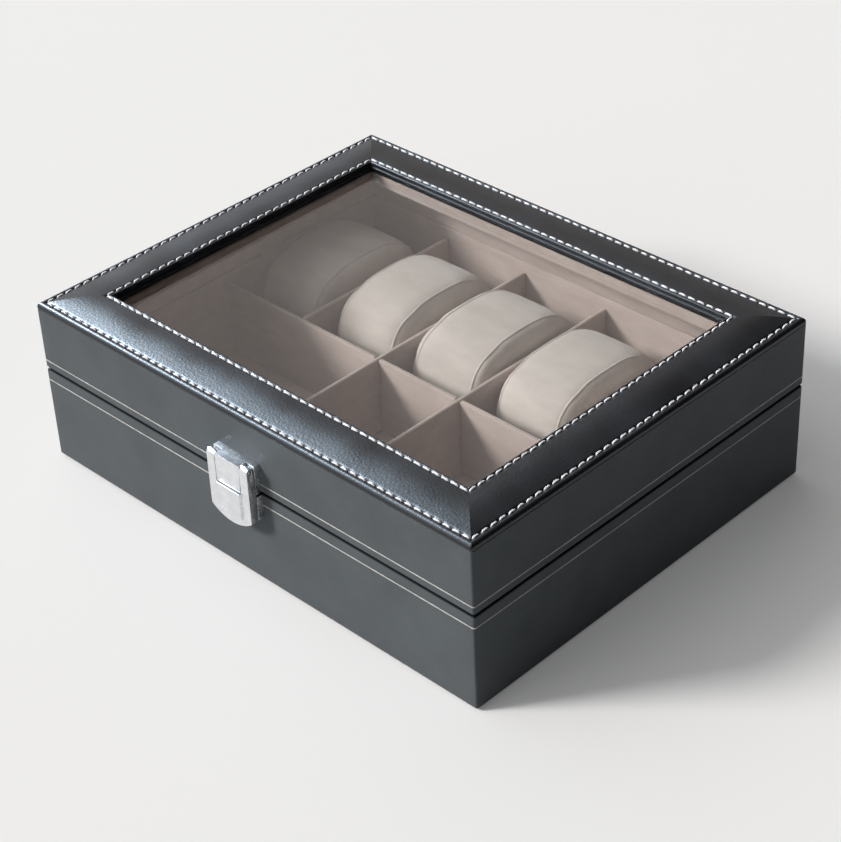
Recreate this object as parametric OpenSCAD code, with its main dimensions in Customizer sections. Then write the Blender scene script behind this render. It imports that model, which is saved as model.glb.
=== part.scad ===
// Watch box: a wrapped board case with a glazed lid, a front clasp and velvet places.
// X runs along the width, the clasp is on the -Y side, the hinges are on the +Y side, Z is up.
// The origin is the middle of the underside. All sizes are in millimetres.

/* [Box] */
// Outside width of the walls
box_w = 260; // [230:1:320]
// Outside depth of the walls, front to back
box_d = 206; // [190:1:260]
// Height of the parting line between base and lid
seam_z = 47.6; // [46:0.2:60]
// Gap between the rims of base and lid
rim_gap = 0.6; // [0.4:0.1:1.2]
// Height of the lid's walls
lid_wall_h = 30.5; // [28:0.5:50]

/* [Walls] */
// Thickness of the base's wall boards
board_t = 4.2; // [3.4:0.1:6]
// Thickness of the bottom board
bottom_t = 3; // [2:0.1:4]
// Thickness of the wrap and of the lid's cover
leather_t = 0.8; // [0.6:0.1:1]
// Width of the wrap turned in under the bottom
turn_in = 14; // [8:1:30]
// Radius of the upright corners
corner_r = 1.2; // [0.6:0.1:1.8]
// Thickness of the felt under the bottom
felt_t = 0.8; // [0.5:0.1:1.5]
// Distance from the outside of the walls to the felt's edge
felt_inset = 3; // [1:0.5:7]
// Height of each pale stripe
stripe_h = 0.9; // [0.6:0.1:1.6]
// Depth of each pale stripe in the wrap
stripe_t = 0.3; // [0.2:0.05:0.4]
// Distance from the parting line up to the lid's stripe
lid_stripe_up = 4.3; // [2.5:0.1:8]
// Distance from the parting line down to the base's stripe
base_stripe_down = 6; // [3:0.1:9]

/* [Lining] */
// Thickness of the base's velvet lining boards
lining_t = 1.5; // [1:0.1:2.5]
// Height of the lining above the base's rim
lip_h = 3.1; // [1.5:0.1:5]
// Clearance of the lid round the lining's lip, and above it
lip_gap = 0.4; // [0.3:0.1:0.8]
// Thickness of the velvet floor pad
floor_pad_t = 2; // [1:0.1:3]

/* [Dividers] */
// Thickness of the dividers
divider_t = 2.4; // [1.6:0.1:3.4]
// Height of the dividers
divider_h = 38.4; // [30:0.2:40]
// Clearance on each side of a divider in a slot
slot_gap = 0.1; // [0.05:0.05:0.3]

/* [Lid top] */
// Width of the rails round the window
rail_w = 24.2; // [20:0.2:32]
// Thickness of the board rails
top_board_t = 1.6; // [1:0.1:2]
// Height of the cover's outer edge
cover_edge_h = 2.5; // [2.3:0.1:4]
// Radius of the cover's outer edge
cover_edge_r = 0.9; // [0.4:0.1:1.2]
// Rise of the padding above the outer edge
crown_h = 2.4; // [1.5:0.1:5]
// Distance over which the padding rises
crown_run = 17; // [10:0.5:19]
// Distance from an edge of the cover to the middle of its stitching
stitch_inset = 2.4; // [1.8:0.1:3.5]
// Thickness of the sewing thread
thread_t = 0.9; // [0.5:0.1:1.2]
// Distance from the stitching to the padding strips
pad_set = 1; // [0.8:0.1:3]
// Gap between board, foam or velvet strips where they meet in a corner
mitre_gap = 0.1; // [0.05:0.05:0.3]

/* [Glass] */
// Thickness of the glass
glass_t = 2; // [1.5:0.1:4]
// Overlap of the glass behind the rails
glass_lap = 5; // [3:0.5:9]
// Clearance round the edge of the glass
glass_gap = 0.2; // [0.1:0.1:0.5]
// Height of the velvet strips that hold the glass
strip_h = 7.8; // [6:0.2:9]

/* [Clasp] */
// Width of the clasp
clasp_w = 24.4; // [20:0.2:36]
// Thickness of the clasp's two plates
clasp_plate_t = 2.9; // [2:0.1:4]
// Distance from each rim to its plate
plate_set = 0.3; // [0.1:0.1:1]
// Height of the plate on the lid
lid_plate_h = 14.3; // [12:0.1:20]
// Height of the catch plate on the base
catch_plate_h = 11.6; // [9:0.1:16]
// Width of the hinge block between the flap's arms
block_w = 14.4; // [10:0.2:17]
// Distance from the lid plate's lower edge to the hinge block
block_set = 0.8; // [0.4:0.1:2]
// Thickness of the flap
flap_t = 3.8; // [3:0.1:5]
// Clearance between the flap and what it lies on or turns beside
flap_gap = 0.35; // [0.3:0.05:0.6]
// Height of the curved lower end of the flap
flap_arc_h = 4.4; // [2:0.1:6]
// Width of the flap's raised panel
panel_w = 14; // [8:0.2:16]
// Height of the raised panel above the flap's face
panel_t = 0.9; // [0.4:0.1:2]
// Radius of the clasp's pin
clasp_pin_r = 0.9; // [0.6:0.05:1.1]
// Width of the spring tongue
tongue_w = 9.2; // [6:0.2:12]
// Height of the spring tongue
tongue_h = 7; // [5:0.2:7.6]
// Thickness of the spring tongue's leaf
tongue_t = 0.5; // [0.3:0.05:0.8]
// Radius of the spring tongue's round lip
lip_r = 1.1; // [0.8:0.05:1.2]
// Clearance between the tongue and its pocket
pocket_gap = 0.6; // [0.3:0.1:1]
// Radius of the clasp's rivets
rivet_r = 1.2; // [0.8:0.1:1.6]
// Length of a rivet inside its plate
rivet_seat = 1.5; // [1:0.1:1.8]
// Distance from the side and the end of a plate to the middle of its rivets
rivet_inset = 3; // [2:0.1:4]

/* [Hinges] */
// Width of each hinge
hinge_w = 30; // [24:1:44]
// Distance from an end of the box to the middle of the hinge near it
hinge_set = 52; // [30:1:75]
// Radius of the knuckles
knuckle_r = 1.9; // [1.5:0.1:2.6]
// Length of the middle knuckle
knuckle_w = 12; // [8:0.5:14]
// Radius of the hinge pins
hinge_pin_r = 0.9; // [0.6:0.05:1.1]
// Radial clearance of every pin in what turns on it
pin_gap = 0.05; // [0.02:0.01:0.1]
// Clearance between a knuckle and whatever moves past it
knuckle_gap = 0.2; // [0.15:0.05:0.4]
// Length of a hinge pin's head
pin_head_h = 0.6; // [0.4:0.1:1]
// Thickness of the leaves
leaf_t = 0.8; // [0.6:0.1:1.2]
// Height of the leaves above or below the pin
leaf_h = 12; // [10:0.5:16]
// Radius of the screws
screw_r = 1; // [0.7:0.1:1.2]
// Radius of the screw heads
screw_head_r = 1.9; // [1.5:0.1:2.2]
// Length of the screws
screw_l = 4.6; // [3:0.1:5]
// Distance from the middle of a hinge to its screws
screw_x = 9.5; // [6:0.5:11]
// Distance from the pin to the screws
screw_z = 7.4; // [6:0.1:8.5]

/* [Pillows] */
// Gap between a divider and the end of a pillow
pillow_side_gap = 1.5; // [0.5:0.1:4]
// Depth of the pillows
pillow_d = 70; // [50:1:80]
// Height of the pillows
pillow_h = 47.7; // [36:0.1:50]
// Thickness of the velvet cover of a pillow
pillow_cover_t = 1.2; // [0.6:0.1:2]
// Clearance under a pillow
pillow_gap = 0.3; // [0.2:0.05:0.5]
// Squareness of the pillows' oval, where 2 is an ellipse
pillow_power = 2.6; // [2:0.1:4]

/* [Hidden] */
COLUMNS = 5;
// Cross dividers are counted from the left. The first is left out in front, for a double place.
DOUBLE_AT = 1;
$fn = 48;
eps = 0.01;
// How far a cut reaches past the face that it opens
cut = 1;

LEATHER = [0.13, 0.14, 0.16];
VELVET = [0.80, 0.74, 0.64];
BOARD = [0.62, 0.48, 0.34];
FELT = [0.08, 0.08, 0.09];
FOAM = [0.90, 0.88, 0.80];
THREAD = [0.92, 0.92, 0.94];
CHROME = [0.78, 0.79, 0.81];
GLASS = [0.75, 0.82, 0.84, 0.35];

// Heights
base_rim_z = seam_z - rim_gap / 2;
lid_rim_z = seam_z + rim_gap / 2;
wall_top_z = lid_rim_z + lid_wall_h;
wrap_low_z = felt_t;
bottom_low_z = wrap_low_z + leather_t;
lining_low_z = bottom_low_z + bottom_t;
floor_z = lining_low_z + floor_pad_t;
lip_top_z = base_rim_z + lip_h;
lid_lining_z = lip_top_z + lip_gap;
cover_edge_z = wall_top_z + cover_edge_h;
board_top_z = wall_top_z + top_board_t;

// Walls, seen from above
wall_t = leather_t + board_t;
lid_board_t = board_t - lip_gap;
lid_wall_t = leather_t + lid_board_t;
lid_lining_t = lining_t + lip_gap;
inner_w = box_w - 2 * (wall_t + lining_t);
inner_d = box_d - 2 * (wall_t + lining_t);
window_w = box_w - 2 * rail_w;
window_d = box_d - 2 * rail_w;

// Places
pitch = inner_w / COLUMNS;
function divider_x(i) = -inner_w / 2 + i * pitch;
function place_left(i) = i == 1 ? -inner_w / 2 : divider_x(i - 1) + divider_t / 2;
function place_right(i) = i == COLUMNS ? inner_w / 2 : divider_x(i) - divider_t / 2;
function place_x(i) = (place_left(i) + place_right(i)) / 2;
place_y = (divider_t / 2 + inner_d / 2) / 2;
pillow_w = pitch - divider_t - 2 * pillow_side_gap;

// Clasp: depth is counted outwards from the front face
flap_back = clasp_plate_t + flap_gap;
flap_face = flap_back + flap_t;
plate_low_z = lid_rim_z + plate_set;
plate_top_z = plate_low_z + lid_plate_h;
block_low_z = plate_low_z + block_set;
clasp_pin_z = plate_top_z - flap_t / 2;
clasp_pin_depth = flap_back + flap_t / 2;
catch_top_z = base_rim_z - plate_set;
catch_low_z = catch_top_z - catch_plate_h;
flap_cross_z = block_low_z - 1.5 * flap_gap;
arm_in_x = block_w / 2 + flap_gap;
pocket_depth = tongue_t + lip_r;
tongue_low_z = catch_low_z + catch_plate_h * 0.3;
arc_r = (pow(clasp_w / 2, 2) + pow(flap_arc_h, 2)) / (2 * flap_arc_h);

// Hinges
hinge_x = box_w / 2 - hinge_set;
hinge_y = box_d / 2 + knuckle_r + knuckle_gap;
leaf_start = knuckle_r + 2 * knuckle_gap;

// ---- Shared shapes ----

module block(w, d, z0, z1) {
    translate([-w / 2, -d / 2, z0])
        cube([w, d, z1 - z0]);
}

module rounded_rect(w, d, r) {
    square([w - 2 * r, d], center = true);
    square([w, d - 2 * r], center = true);
    for (sx = [-1, 1], sy = [-1, 1])
        translate([sx * (w / 2 - r), sy * (d / 2 - r)])
            circle(r);
}

module rounded_block(w, d, z0, z1, r) {
    translate([0, 0, z0])
        linear_extrude(z1 - z0)
            rounded_rect(w, d, r);
}

// A rectangular ring whose band reaches inwards from the outside size
module ring(w, d, band, z0, z1) {
    difference() {
        block(w, d, z0, z1);
        block(w - 2 * band, d - 2 * band, z0 - cut, z1 + cut);
    }
}

// Four strips that meet in mitred corners
module mitred_strips(w, d, band, z0, z1) {
    translate([0, 0, z0])
        linear_extrude(z1 - z0)
            for (s = [-1, 1]) {
                polygon([
                    [-w / 2 + mitre_gap, s * d / 2],
                    [w / 2 - mitre_gap, s * d / 2],
                    [w / 2 - band - mitre_gap, s * (d / 2 - band)],
                    [-w / 2 + band + mitre_gap, s * (d / 2 - band)]
                ]);
                polygon([
                    [s * w / 2, -d / 2],
                    [s * w / 2, d / 2],
                    [s * (w / 2 - band), d / 2 - band],
                    [s * (w / 2 - band), -d / 2 + band]
                ]);
            }
}

// Leather round four walls, turned in at its lower and upper edge
module wrap(z0, z1, low_turn, high_turn) {
    difference() {
        rounded_block(box_w, box_d, z0, z1, corner_r);
        block(box_w - 2 * leather_t, box_d - 2 * leather_t, z0 + leather_t, z1 - leather_t);
        block(box_w - 2 * low_turn, box_d - 2 * low_turn, z0 - cut, z0 + 2 * leather_t);
        block(box_w - 2 * high_turn, box_d - 2 * high_turn, z1 - 2 * leather_t, z1 + cut);
    }
}

// A thin band let into the wrap, flush with it, all the way round
module stripe(z) {
    difference() {
        rounded_block(box_w, box_d, z - stripe_h / 2, z + stripe_h / 2, corner_r);
        rounded_block(box_w - 2 * stripe_t, box_d - 2 * stripe_t,
                      z - stripe_h, z + stripe_h, corner_r - stripe_t);
    }
}

// The front and back boards run the full width, the side boards stand between them
module long_board(side, t, z0, z1) {
    y = side * (box_d / 2 - leather_t - t / 2);
    translate([0, y, 0])
        block(box_w - 2 * leather_t, t, z0, z1);
}

module side_board(side, t, z0, z1) {
    x = side * (box_w / 2 - leather_t - t / 2);
    translate([x, 0, 0])
        block(t, box_d - 2 * leather_t - 2 * t, z0, z1);
}

module long_lining(side, outer_set, t, z0, z1) {
    y = side * (box_d / 2 - outer_set - t / 2);
    translate([0, y, 0])
        block(box_w - 2 * outer_set, t, z0, z1);
}

module side_lining(side, outer_set, t, z0, z1) {
    x = side * (box_w / 2 - outer_set - t / 2);
    translate([x, 0, 0])
        block(t, box_d - 2 * outer_set - 2 * t, z0, z1);
}

// Draws a flat outline of X and Z so that it grows outwards from the front face
module on_front(depth0, depth1) {
    translate([0, -box_d / 2 - depth0, 0])
        rotate([90, 0, 0])
            linear_extrude(depth1 - depth0)
                children();
}

module bar_outline(w, z0, z1) {
    translate([-w / 2, z0])
        square([w, z1 - z0]);
}

// A round bar along X, centred on x
module bar_x(x, y, z, length, r) {
    translate([x - length / 2, y, z])
        rotate([0, 90, 0])
            cylinder(h = length, r = r);
}

// ---- Fasteners ----

// side is 1 for the lid's screws and -1 for the base's
module screws(side) {
    for (hx = [-hinge_x, hinge_x], dx = [-screw_x, screw_x])
        translate([hx + dx, box_d / 2 + leaf_t, seam_z + side * screw_z])
            rotate([90, 0, 0]) {
                cylinder(h = leaf_t, r1 = screw_head_r, r2 = screw_r);
                cylinder(h = screw_l, r = screw_r);
            }
}

// Two rivets from inside a plate to a depth behind the front face
module rivets(z, depth) {
    for (s = [-1, 1])
        translate([s * (clasp_w / 2 - rivet_inset), -box_d / 2 - rivet_seat, z])
            rotate([-90, 0, 0])
                cylinder(h = rivet_seat + depth, r = rivet_r);
}

module catch_rivet_set(past = 0) {
    rivets(catch_low_z + rivet_inset, wall_t + past);
}

module block_rivet_set(past = 0) {
    rivets(plate_top_z - rivet_inset, lid_wall_t + past);
}

// ---- Base ----

module base_wrap() {
    color(LEATHER)
        difference() {
            wrap(wrap_low_z, base_rim_z, turn_in, wall_t);
            stripe(seam_z - base_stripe_down);
            screws(-1);
            catch_rivet_set(cut);
        }
}

module base_stripe() {
    color(THREAD)
        difference() {
            stripe(seam_z - base_stripe_down);
            catch_rivet_set(cut);
        }
}

// The felt has a raised middle that fills the space inside the turned-in wrap
module base_felt() {
    color(FELT) {
        block(box_w - 2 * felt_inset, box_d - 2 * felt_inset, 0, felt_t);
        block(box_w - 2 * turn_in, box_d - 2 * turn_in, 0, bottom_low_z);
    }
}

module base_bottom_board() {
    color(BOARD)
        block(box_w - 2 * wall_t, box_d - 2 * wall_t, bottom_low_z, lining_low_z);
}

module base_front_board() {
    color(BOARD)
        difference() {
            long_board(-1, board_t, bottom_low_z, base_rim_z - leather_t);
            catch_rivet_set(cut);
        }
}

module base_back_board() {
    color(BOARD)
        difference() {
            long_board(1, board_t, bottom_low_z, base_rim_z - leather_t);
            screws(-1);
        }
}

module base_side_board(side) {
    color(BOARD)
        side_board(side, board_t, bottom_low_z, base_rim_z - leather_t);
}

module base_long_lining(side) {
    color(VELVET)
        long_lining(side, wall_t, lining_t, lining_low_z, lip_top_z);
}

module base_side_lining(side) {
    color(VELVET)
        side_lining(side, wall_t, lining_t, lining_low_z, lip_top_z);
}

module base_floor_pad() {
    color(VELVET)
        block(inner_w, inner_d, lining_low_z, floor_z);
}

// The long divider is slotted from above wherever a cross divider passes through it
module long_divider() {
    color(VELVET)
        difference() {
            block(inner_w, divider_t, floor_z, floor_z + divider_h);
            for (i = [1 : COLUMNS - 1])
                if (i != DOUBLE_AT)
                    translate([divider_x(i), 0, 0])
                        block(divider_t + 2 * slot_gap, 2 * divider_t,
                              floor_z + divider_h / 2, floor_z + divider_h + cut);
        }
}

// A cross divider is slotted from below, and the one at the double place stops at the long divider
module cross_divider(i) {
    color(VELVET)
        translate([divider_x(i), 0, 0])
            difference() {
                block(divider_t, inner_d, floor_z, floor_z + divider_h);
                if (i == DOUBLE_AT)
                    translate([0, -inner_d / 2 + divider_t / 2, 0])
                        block(2 * divider_t, inner_d, floor_z - cut, floor_z + divider_h + cut);
                else
                    block(2 * divider_t, divider_t + 2 * slot_gap,
                          floor_z - cut, floor_z + divider_h / 2 + slot_gap);
            }
}

// ---- Lid ----

module lid_wrap() {
    color(LEATHER)
        difference() {
            wrap(lid_rim_z, wall_top_z, lid_wall_t, lid_wall_t);
            stripe(seam_z + lid_stripe_up);
            screws(1);
            block_rivet_set(cut);
        }
}

module lid_stripe() {
    color(THREAD)
        difference() {
            stripe(seam_z + lid_stripe_up);
            block_rivet_set(cut);
        }
}

module lid_front_board() {
    color(BOARD)
        difference() {
            long_board(-1, lid_board_t, lid_rim_z + leather_t, wall_top_z - leather_t);
            block_rivet_set(cut);
        }
}

module lid_back_board() {
    color(BOARD)
        difference() {
            long_board(1, lid_board_t, lid_rim_z + leather_t, wall_top_z - leather_t);
            screws(1);
        }
}

module lid_side_board(side) {
    color(BOARD)
        side_board(side, lid_board_t, lid_rim_z + leather_t, wall_top_z - leather_t);
}

module lid_long_lining(side) {
    color(VELVET)
        long_lining(side, lid_wall_t, lid_lining_t, lid_lining_z, wall_top_z);
}

module lid_side_lining(side) {
    color(VELVET)
        side_lining(side, lid_wall_t, lid_lining_t, lid_lining_z, wall_top_z);
}

module lid_top_rails() {
    color(BOARD)
        mitred_strips(box_w - 2 * leather_t, box_d - 2 * leather_t,
                      rail_w - 2 * leather_t, wall_top_z, board_top_z);
}

// Height of the cover at a distance from its outer edge
function crown_z(from_edge) =
    let (t = min(1, max(0, from_edge - cover_edge_r) / crown_run))
    cover_edge_z + crown_h * sin(90 * t);

CROWN_STEPS = 8;
EDGE_STEPS = 3;
crown_points = concat(
    [for (i = [0 : EDGE_STEPS - 1])
        let (a = 90 * i / EDGE_STEPS)
        [cover_edge_r * (1 - cos(a)), cover_edge_z - cover_edge_r * (1 - sin(a))]],
    [for (i = [0 : CROWN_STEPS])
        let (s = cover_edge_r + crown_run * i / CROWN_STEPS)
        [s, crown_z(s)]]
);
crown_count = len(crown_points);

module crown_outline(span, drop) {
    polygon(concat(
        [for (p = crown_points) [-span / 2 + p[0], p[1] - drop]],
        [for (i = [crown_count - 1 : -1 : 0])
            [span / 2 - crown_points[i][0], crown_points[i][1] - drop]],
        [[span / 2, wall_top_z], [-span / 2, wall_top_z]]
    ));
}

// The padded form, before the window is cut: it rises inwards from all four edges
module crown(drop) {
    intersection() {
        rotate([90, 0, 90])
            translate([0, 0, -box_w])
                linear_extrude(2 * box_w)
                    crown_outline(box_d, drop);
        rotate([90, 0, 0])
            translate([0, 0, -box_d])
                linear_extrude(2 * box_d)
                    crown_outline(box_w, drop);
        rounded_block(box_w, box_d, wall_top_z, cover_edge_z + 2 * crown_h, corner_r);
    }
}

pad_inset = stitch_inset + pad_set;

module lid_padding() {
    color(FOAM)
        intersection() {
            crown(leather_t);
            mitred_strips(box_w - 2 * pad_inset, box_d - 2 * pad_inset,
                          rail_w - 2 * pad_inset, board_top_z, cover_edge_z + 2 * crown_h);
        }
}

// A line of stitching at a distance from the cover's outer edge
module seam_line(from_edge) {
    z = crown_z(from_edge);
    outer = from_edge - thread_t / 2;
    ring(box_w - 2 * outer, box_d - 2 * outer, thread_t, z - thread_t / 2, z + thread_t / 2);
}

module lid_outer_seam() {
    color(THREAD)
        seam_line(stitch_inset);
}

module lid_inner_seam() {
    color(THREAD)
        seam_line(rail_w - stitch_inset);
}

module lid_cover() {
    color(LEATHER)
        difference() {
            crown(0);
            block(window_w, window_d, wall_top_z - cut, cover_edge_z + 2 * crown_h + cut);
            ring(box_w - 2 * leather_t, box_d - 2 * leather_t, rail_w - 2 * leather_t,
                 wall_top_z - cut, board_top_z);
            intersection() {
                crown(leather_t);
                ring(box_w - 2 * pad_inset, box_d - 2 * pad_inset, rail_w - 2 * pad_inset,
                     board_top_z - eps, cover_edge_z + 2 * crown_h);
            }
            seam_line(stitch_inset);
            seam_line(rail_w - stitch_inset);
        }
}

module lid_glass() {
    color(GLASS)
        block(window_w + 2 * glass_lap, window_d + 2 * glass_lap,
              wall_top_z - glass_t, wall_top_z);
}

// The strips fill the lid between lining and window, with a rebate for the glass
module lid_glass_strips() {
    rebate = 2 * (glass_lap + glass_gap);
    band = rail_w - wall_t - lining_t;
    color(VELVET)
        difference() {
            mitred_strips(inner_w, inner_d, band, wall_top_z - strip_h, wall_top_z);
            block(window_w + rebate, window_d + rebate, wall_top_z - glass_t, wall_top_z + cut);
        }
}

// ---- Hinges ----

module leaf_plate(side) {
    z0 = side > 0 ? seam_z + leaf_start : seam_z - leaf_h;
    z1 = side > 0 ? seam_z + leaf_h : seam_z - leaf_start;
    translate([0, box_d / 2 + leaf_t / 2, 0])
        block(hinge_w, leaf_t, z0, z1);
}

// A knuckle with the tab that joins it to its leaf
module knuckle(side, x, length) {
    z0 = side > 0 ? seam_z : seam_z - leaf_start;
    z1 = side > 0 ? seam_z + leaf_start : seam_z;
    bar_x(x, hinge_y, seam_z, length, knuckle_r);
    translate([x, box_d / 2 + leaf_t / 2, 0])
        block(length, leaf_t, z0, z1);
}

module lid_leaf(hx) {
    color(CHROME)
        difference() {
            translate([hx, 0, 0]) {
                leaf_plate(1);
                knuckle(1, 0, knuckle_w - 2 * knuckle_gap);
            }
            bar_x(hx, hinge_y, seam_z, 2 * hinge_w, hinge_pin_r + pin_gap);
            screws(1);
        }
}

module base_leaf(hx) {
    end_w = (hinge_w - knuckle_w) / 2;
    color(CHROME)
        difference() {
            translate([hx, 0, 0]) {
                leaf_plate(-1);
                for (s = [-1, 1])
                    knuckle(-1, s * (knuckle_w + end_w) / 2, end_w);
            }
            bar_x(hx, hinge_y, seam_z, 2 * hinge_w, hinge_pin_r + pin_gap);
            screws(-1);
        }
}

module hinge_pins() {
    head_r = (hinge_pin_r + knuckle_r) / 2;
    color(CHROME)
        for (hx = [-hinge_x, hinge_x]) {
            bar_x(hx, hinge_y, seam_z, hinge_w, hinge_pin_r);
            for (s = [-1, 1])
                bar_x(hx + s * (hinge_w + pin_head_h) / 2, hinge_y, seam_z, pin_head_h, head_r);
        }
}

module hinge_base_screws() {
    color(CHROME)
        screws(-1);
}

module hinge_lid_screws() {
    color(CHROME)
        screws(1);
}

// ---- Clasp ----

module groove() {
    bar_x(0, -box_d / 2 - clasp_plate_t - lip_r, tongue_low_z + lip_r,
          tongue_w + 2 * pocket_gap, lip_r + flap_gap);
}

module catch_plate() {
    color(CHROME)
        difference() {
            on_front(0, clasp_plate_t)
                bar_outline(clasp_w, catch_low_z, catch_top_z);
            groove();
            catch_rivet_set();
        }
}

module catch_rivets() {
    color(CHROME)
        catch_rivet_set();
}

module clasp_block() {
    color(CHROME)
        difference() {
            union() {
                on_front(0, clasp_plate_t)
                    bar_outline(clasp_w, plate_low_z, plate_top_z);
                on_front(0, flap_face)
                    bar_outline(block_w, block_low_z, plate_top_z);
            }
            bar_x(0, -box_d / 2 - clasp_pin_depth, clasp_pin_z, 2 * clasp_w, clasp_pin_r);
            block_rivet_set();
        }
}

module clasp_block_rivets() {
    color(CHROME)
        block_rivet_set();
}

module clasp_pin() {
    color(CHROME)
        bar_x(0, -box_d / 2 - clasp_pin_depth, clasp_pin_z, clasp_w, clasp_pin_r);
}

module flap_outline() {
    bar_outline(clasp_w, catch_low_z, flap_cross_z);
    intersection() {
        bar_outline(clasp_w, catch_low_z - flap_arc_h, catch_low_z + eps);
        translate([0, catch_low_z - flap_arc_h + arc_r])
            circle(arc_r, $fn = 96);
    }
    for (s = [-1, 1])
        translate([s * (clasp_w / 2 + arm_in_x) / 2, 0])
            bar_outline(clasp_w / 2 - arm_in_x, catch_low_z, clasp_pin_z);
}

module clasp_flap() {
    ear_w = clasp_w / 2 - arm_in_x;
    color(CHROME)
        difference() {
            union() {
                on_front(flap_back, flap_face)
                    flap_outline();
                on_front(flap_back + flap_t / 2, flap_face + panel_t)
                    bar_outline(panel_w, catch_low_z, flap_cross_z);
                for (s = [-1, 1])
                    bar_x(s * (arm_in_x + ear_w / 2), -box_d / 2 - clasp_pin_depth,
                          clasp_pin_z, ear_w, flap_t / 2);
            }
            on_front(flap_back - cut, flap_back + pocket_depth)
                bar_outline(tongue_w + 2 * pocket_gap, tongue_low_z - pocket_gap,
                            tongue_low_z + tongue_h + pocket_gap);
            bar_x(0, -box_d / 2 - clasp_pin_depth, clasp_pin_z, 2 * clasp_w,
                  clasp_pin_r + pin_gap);
        }
}

// A leaf on the floor of the flap's pocket, with a round lip that faces the catch plate's groove
module clasp_tongue() {
    floor_depth = flap_back + pocket_depth;
    color(CHROME) {
        on_front(floor_depth - tongue_t, floor_depth)
            bar_outline(tongue_w, tongue_low_z, tongue_low_z + tongue_h);
        intersection() {
            bar_x(0, -box_d / 2 - floor_depth + tongue_t, tongue_low_z + lip_r, tongue_w, lip_r);
            on_front(0, floor_depth)
                bar_outline(tongue_w, tongue_low_z, tongue_low_z + 2 * lip_r);
        }
    }
}

// ---- Pillows ----

OVAL_STEPS = 40;
function signed_pow(v, p) = sign(v) * pow(abs(v), p);

// An oval roll along X, made smaller on every side by inset
module pillow_form(i, inset) {
    half_d = pillow_d / 2 - inset;
    half_h = pillow_h / 2 - inset;
    power = 2 / pillow_power;
    translate([place_x(i) - pillow_w / 2 + inset, place_y, floor_z + pillow_gap + pillow_h / 2])
        rotate([90, 0, 90])
            linear_extrude(pillow_w - 2 * inset)
                polygon([for (k = [0 : OVAL_STEPS - 1])
                    let (a = 360 * k / OVAL_STEPS)
                    [half_d * signed_pow(cos(a), power), half_h * signed_pow(sin(a), power)]]);
}

module pillow_cover(i) {
    color(VELVET)
        difference() {
            pillow_form(i, 0);
            pillow_form(i, pillow_cover_t);
        }
}

module pillow_core(i) {
    color(FOAM)
        pillow_form(i, pillow_cover_t);
}

// ---- Nodes ----

base_wrap();
base_stripe();
base_felt();
base_bottom_board();
base_front_board();
base_back_board();
base_side_board(-1);  // base_left_board
base_side_board(1);  // base_right_board
base_long_lining(-1);  // base_lining_front
base_long_lining(1);  // base_lining_back
base_side_lining(-1);  // base_lining_left
base_side_lining(1);  // base_lining_right
base_floor_pad();
long_divider();
for (i = [1 : COLUMNS - 1])
    cross_divider(i);
catch_plate();
catch_rivets();
base_leaf(-hinge_x);  // hinge_base_leaf_left
base_leaf(hinge_x);  // hinge_base_leaf_right
hinge_pins();
hinge_base_screws();
lid_wrap();
lid_stripe();
lid_front_board();
lid_back_board();
lid_side_board(-1);  // lid_left_board
lid_side_board(1);  // lid_right_board
lid_long_lining(-1);  // lid_lining_front
lid_long_lining(1);  // lid_lining_back
lid_side_lining(-1);  // lid_lining_left
lid_side_lining(1);  // lid_lining_right
lid_top_rails();
lid_padding();
lid_cover();
lid_outer_seam();
lid_inner_seam();
lid_glass();
lid_glass_strips();
lid_leaf(-hinge_x);  // hinge_lid_leaf_left
lid_leaf(hinge_x);  // hinge_lid_leaf_right
hinge_lid_screws();
clasp_block();
clasp_pin();
clasp_block_rivets();
clasp_flap();
clasp_tongue();
for (i = [1 : COLUMNS]) {
    pillow_cover(i);
    pillow_core(i);
}
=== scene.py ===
import math
import random

import bmesh
import bpy
from mathutils import Matrix, Vector, noise
from mathutils.bvhtree import BVHTree


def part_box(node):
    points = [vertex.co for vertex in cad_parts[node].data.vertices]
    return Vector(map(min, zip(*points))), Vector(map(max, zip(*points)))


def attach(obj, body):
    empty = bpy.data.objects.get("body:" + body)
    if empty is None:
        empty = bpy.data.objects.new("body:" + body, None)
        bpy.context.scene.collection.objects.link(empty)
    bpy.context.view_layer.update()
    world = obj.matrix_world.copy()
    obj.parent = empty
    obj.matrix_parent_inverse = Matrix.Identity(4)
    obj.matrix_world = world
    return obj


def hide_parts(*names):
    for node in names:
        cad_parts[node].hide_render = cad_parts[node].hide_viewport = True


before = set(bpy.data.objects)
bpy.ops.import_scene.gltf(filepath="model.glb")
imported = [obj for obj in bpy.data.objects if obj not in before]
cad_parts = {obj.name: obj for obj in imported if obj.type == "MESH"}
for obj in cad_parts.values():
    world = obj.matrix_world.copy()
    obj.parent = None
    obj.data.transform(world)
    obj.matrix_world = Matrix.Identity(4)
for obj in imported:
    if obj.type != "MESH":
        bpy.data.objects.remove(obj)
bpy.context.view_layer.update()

# Watch box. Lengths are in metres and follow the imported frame; X is the width, -Y the front, Z up.
MM = 0.001

# ---- Sizes ----
CORNER_R = 1.2 * MM         # upright corners
LEATHER_T = 0.8 * MM        # wrap and cover
TURN_IN = 14 * MM           # wrap turned in under the bottom
FOLD_MIN = 0.05 * MM        # smallest corner radius of an inner outline
FOOT_R = 1.0 * MM           # lower edge of the base
BASE_RIM_R = 1.3 * MM       # rim of the base
LID_LOW_R = 1.0 * MM        # lower rim of the lid's walls
LID_TOP_R = 0.35 * MM       # upper rim of the lid's walls
HOLD = 0.2 * MM             # flat strip kept beside a bend
SEAM_SHADE_SPAN = (0.7 * MM, 1.1 * MM)   # painted shade on both rims by the seam, from mid-seam: where it is full, where it ends
GROOVE = 0.1 * MM           # groove that holds a pinstripe
STRIPE_PROUD = 0.08 * MM    # pinstripe above the leather
STRIPE_TRIM = 0.17 * MM     # taken off both edges of a pinstripe

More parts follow.
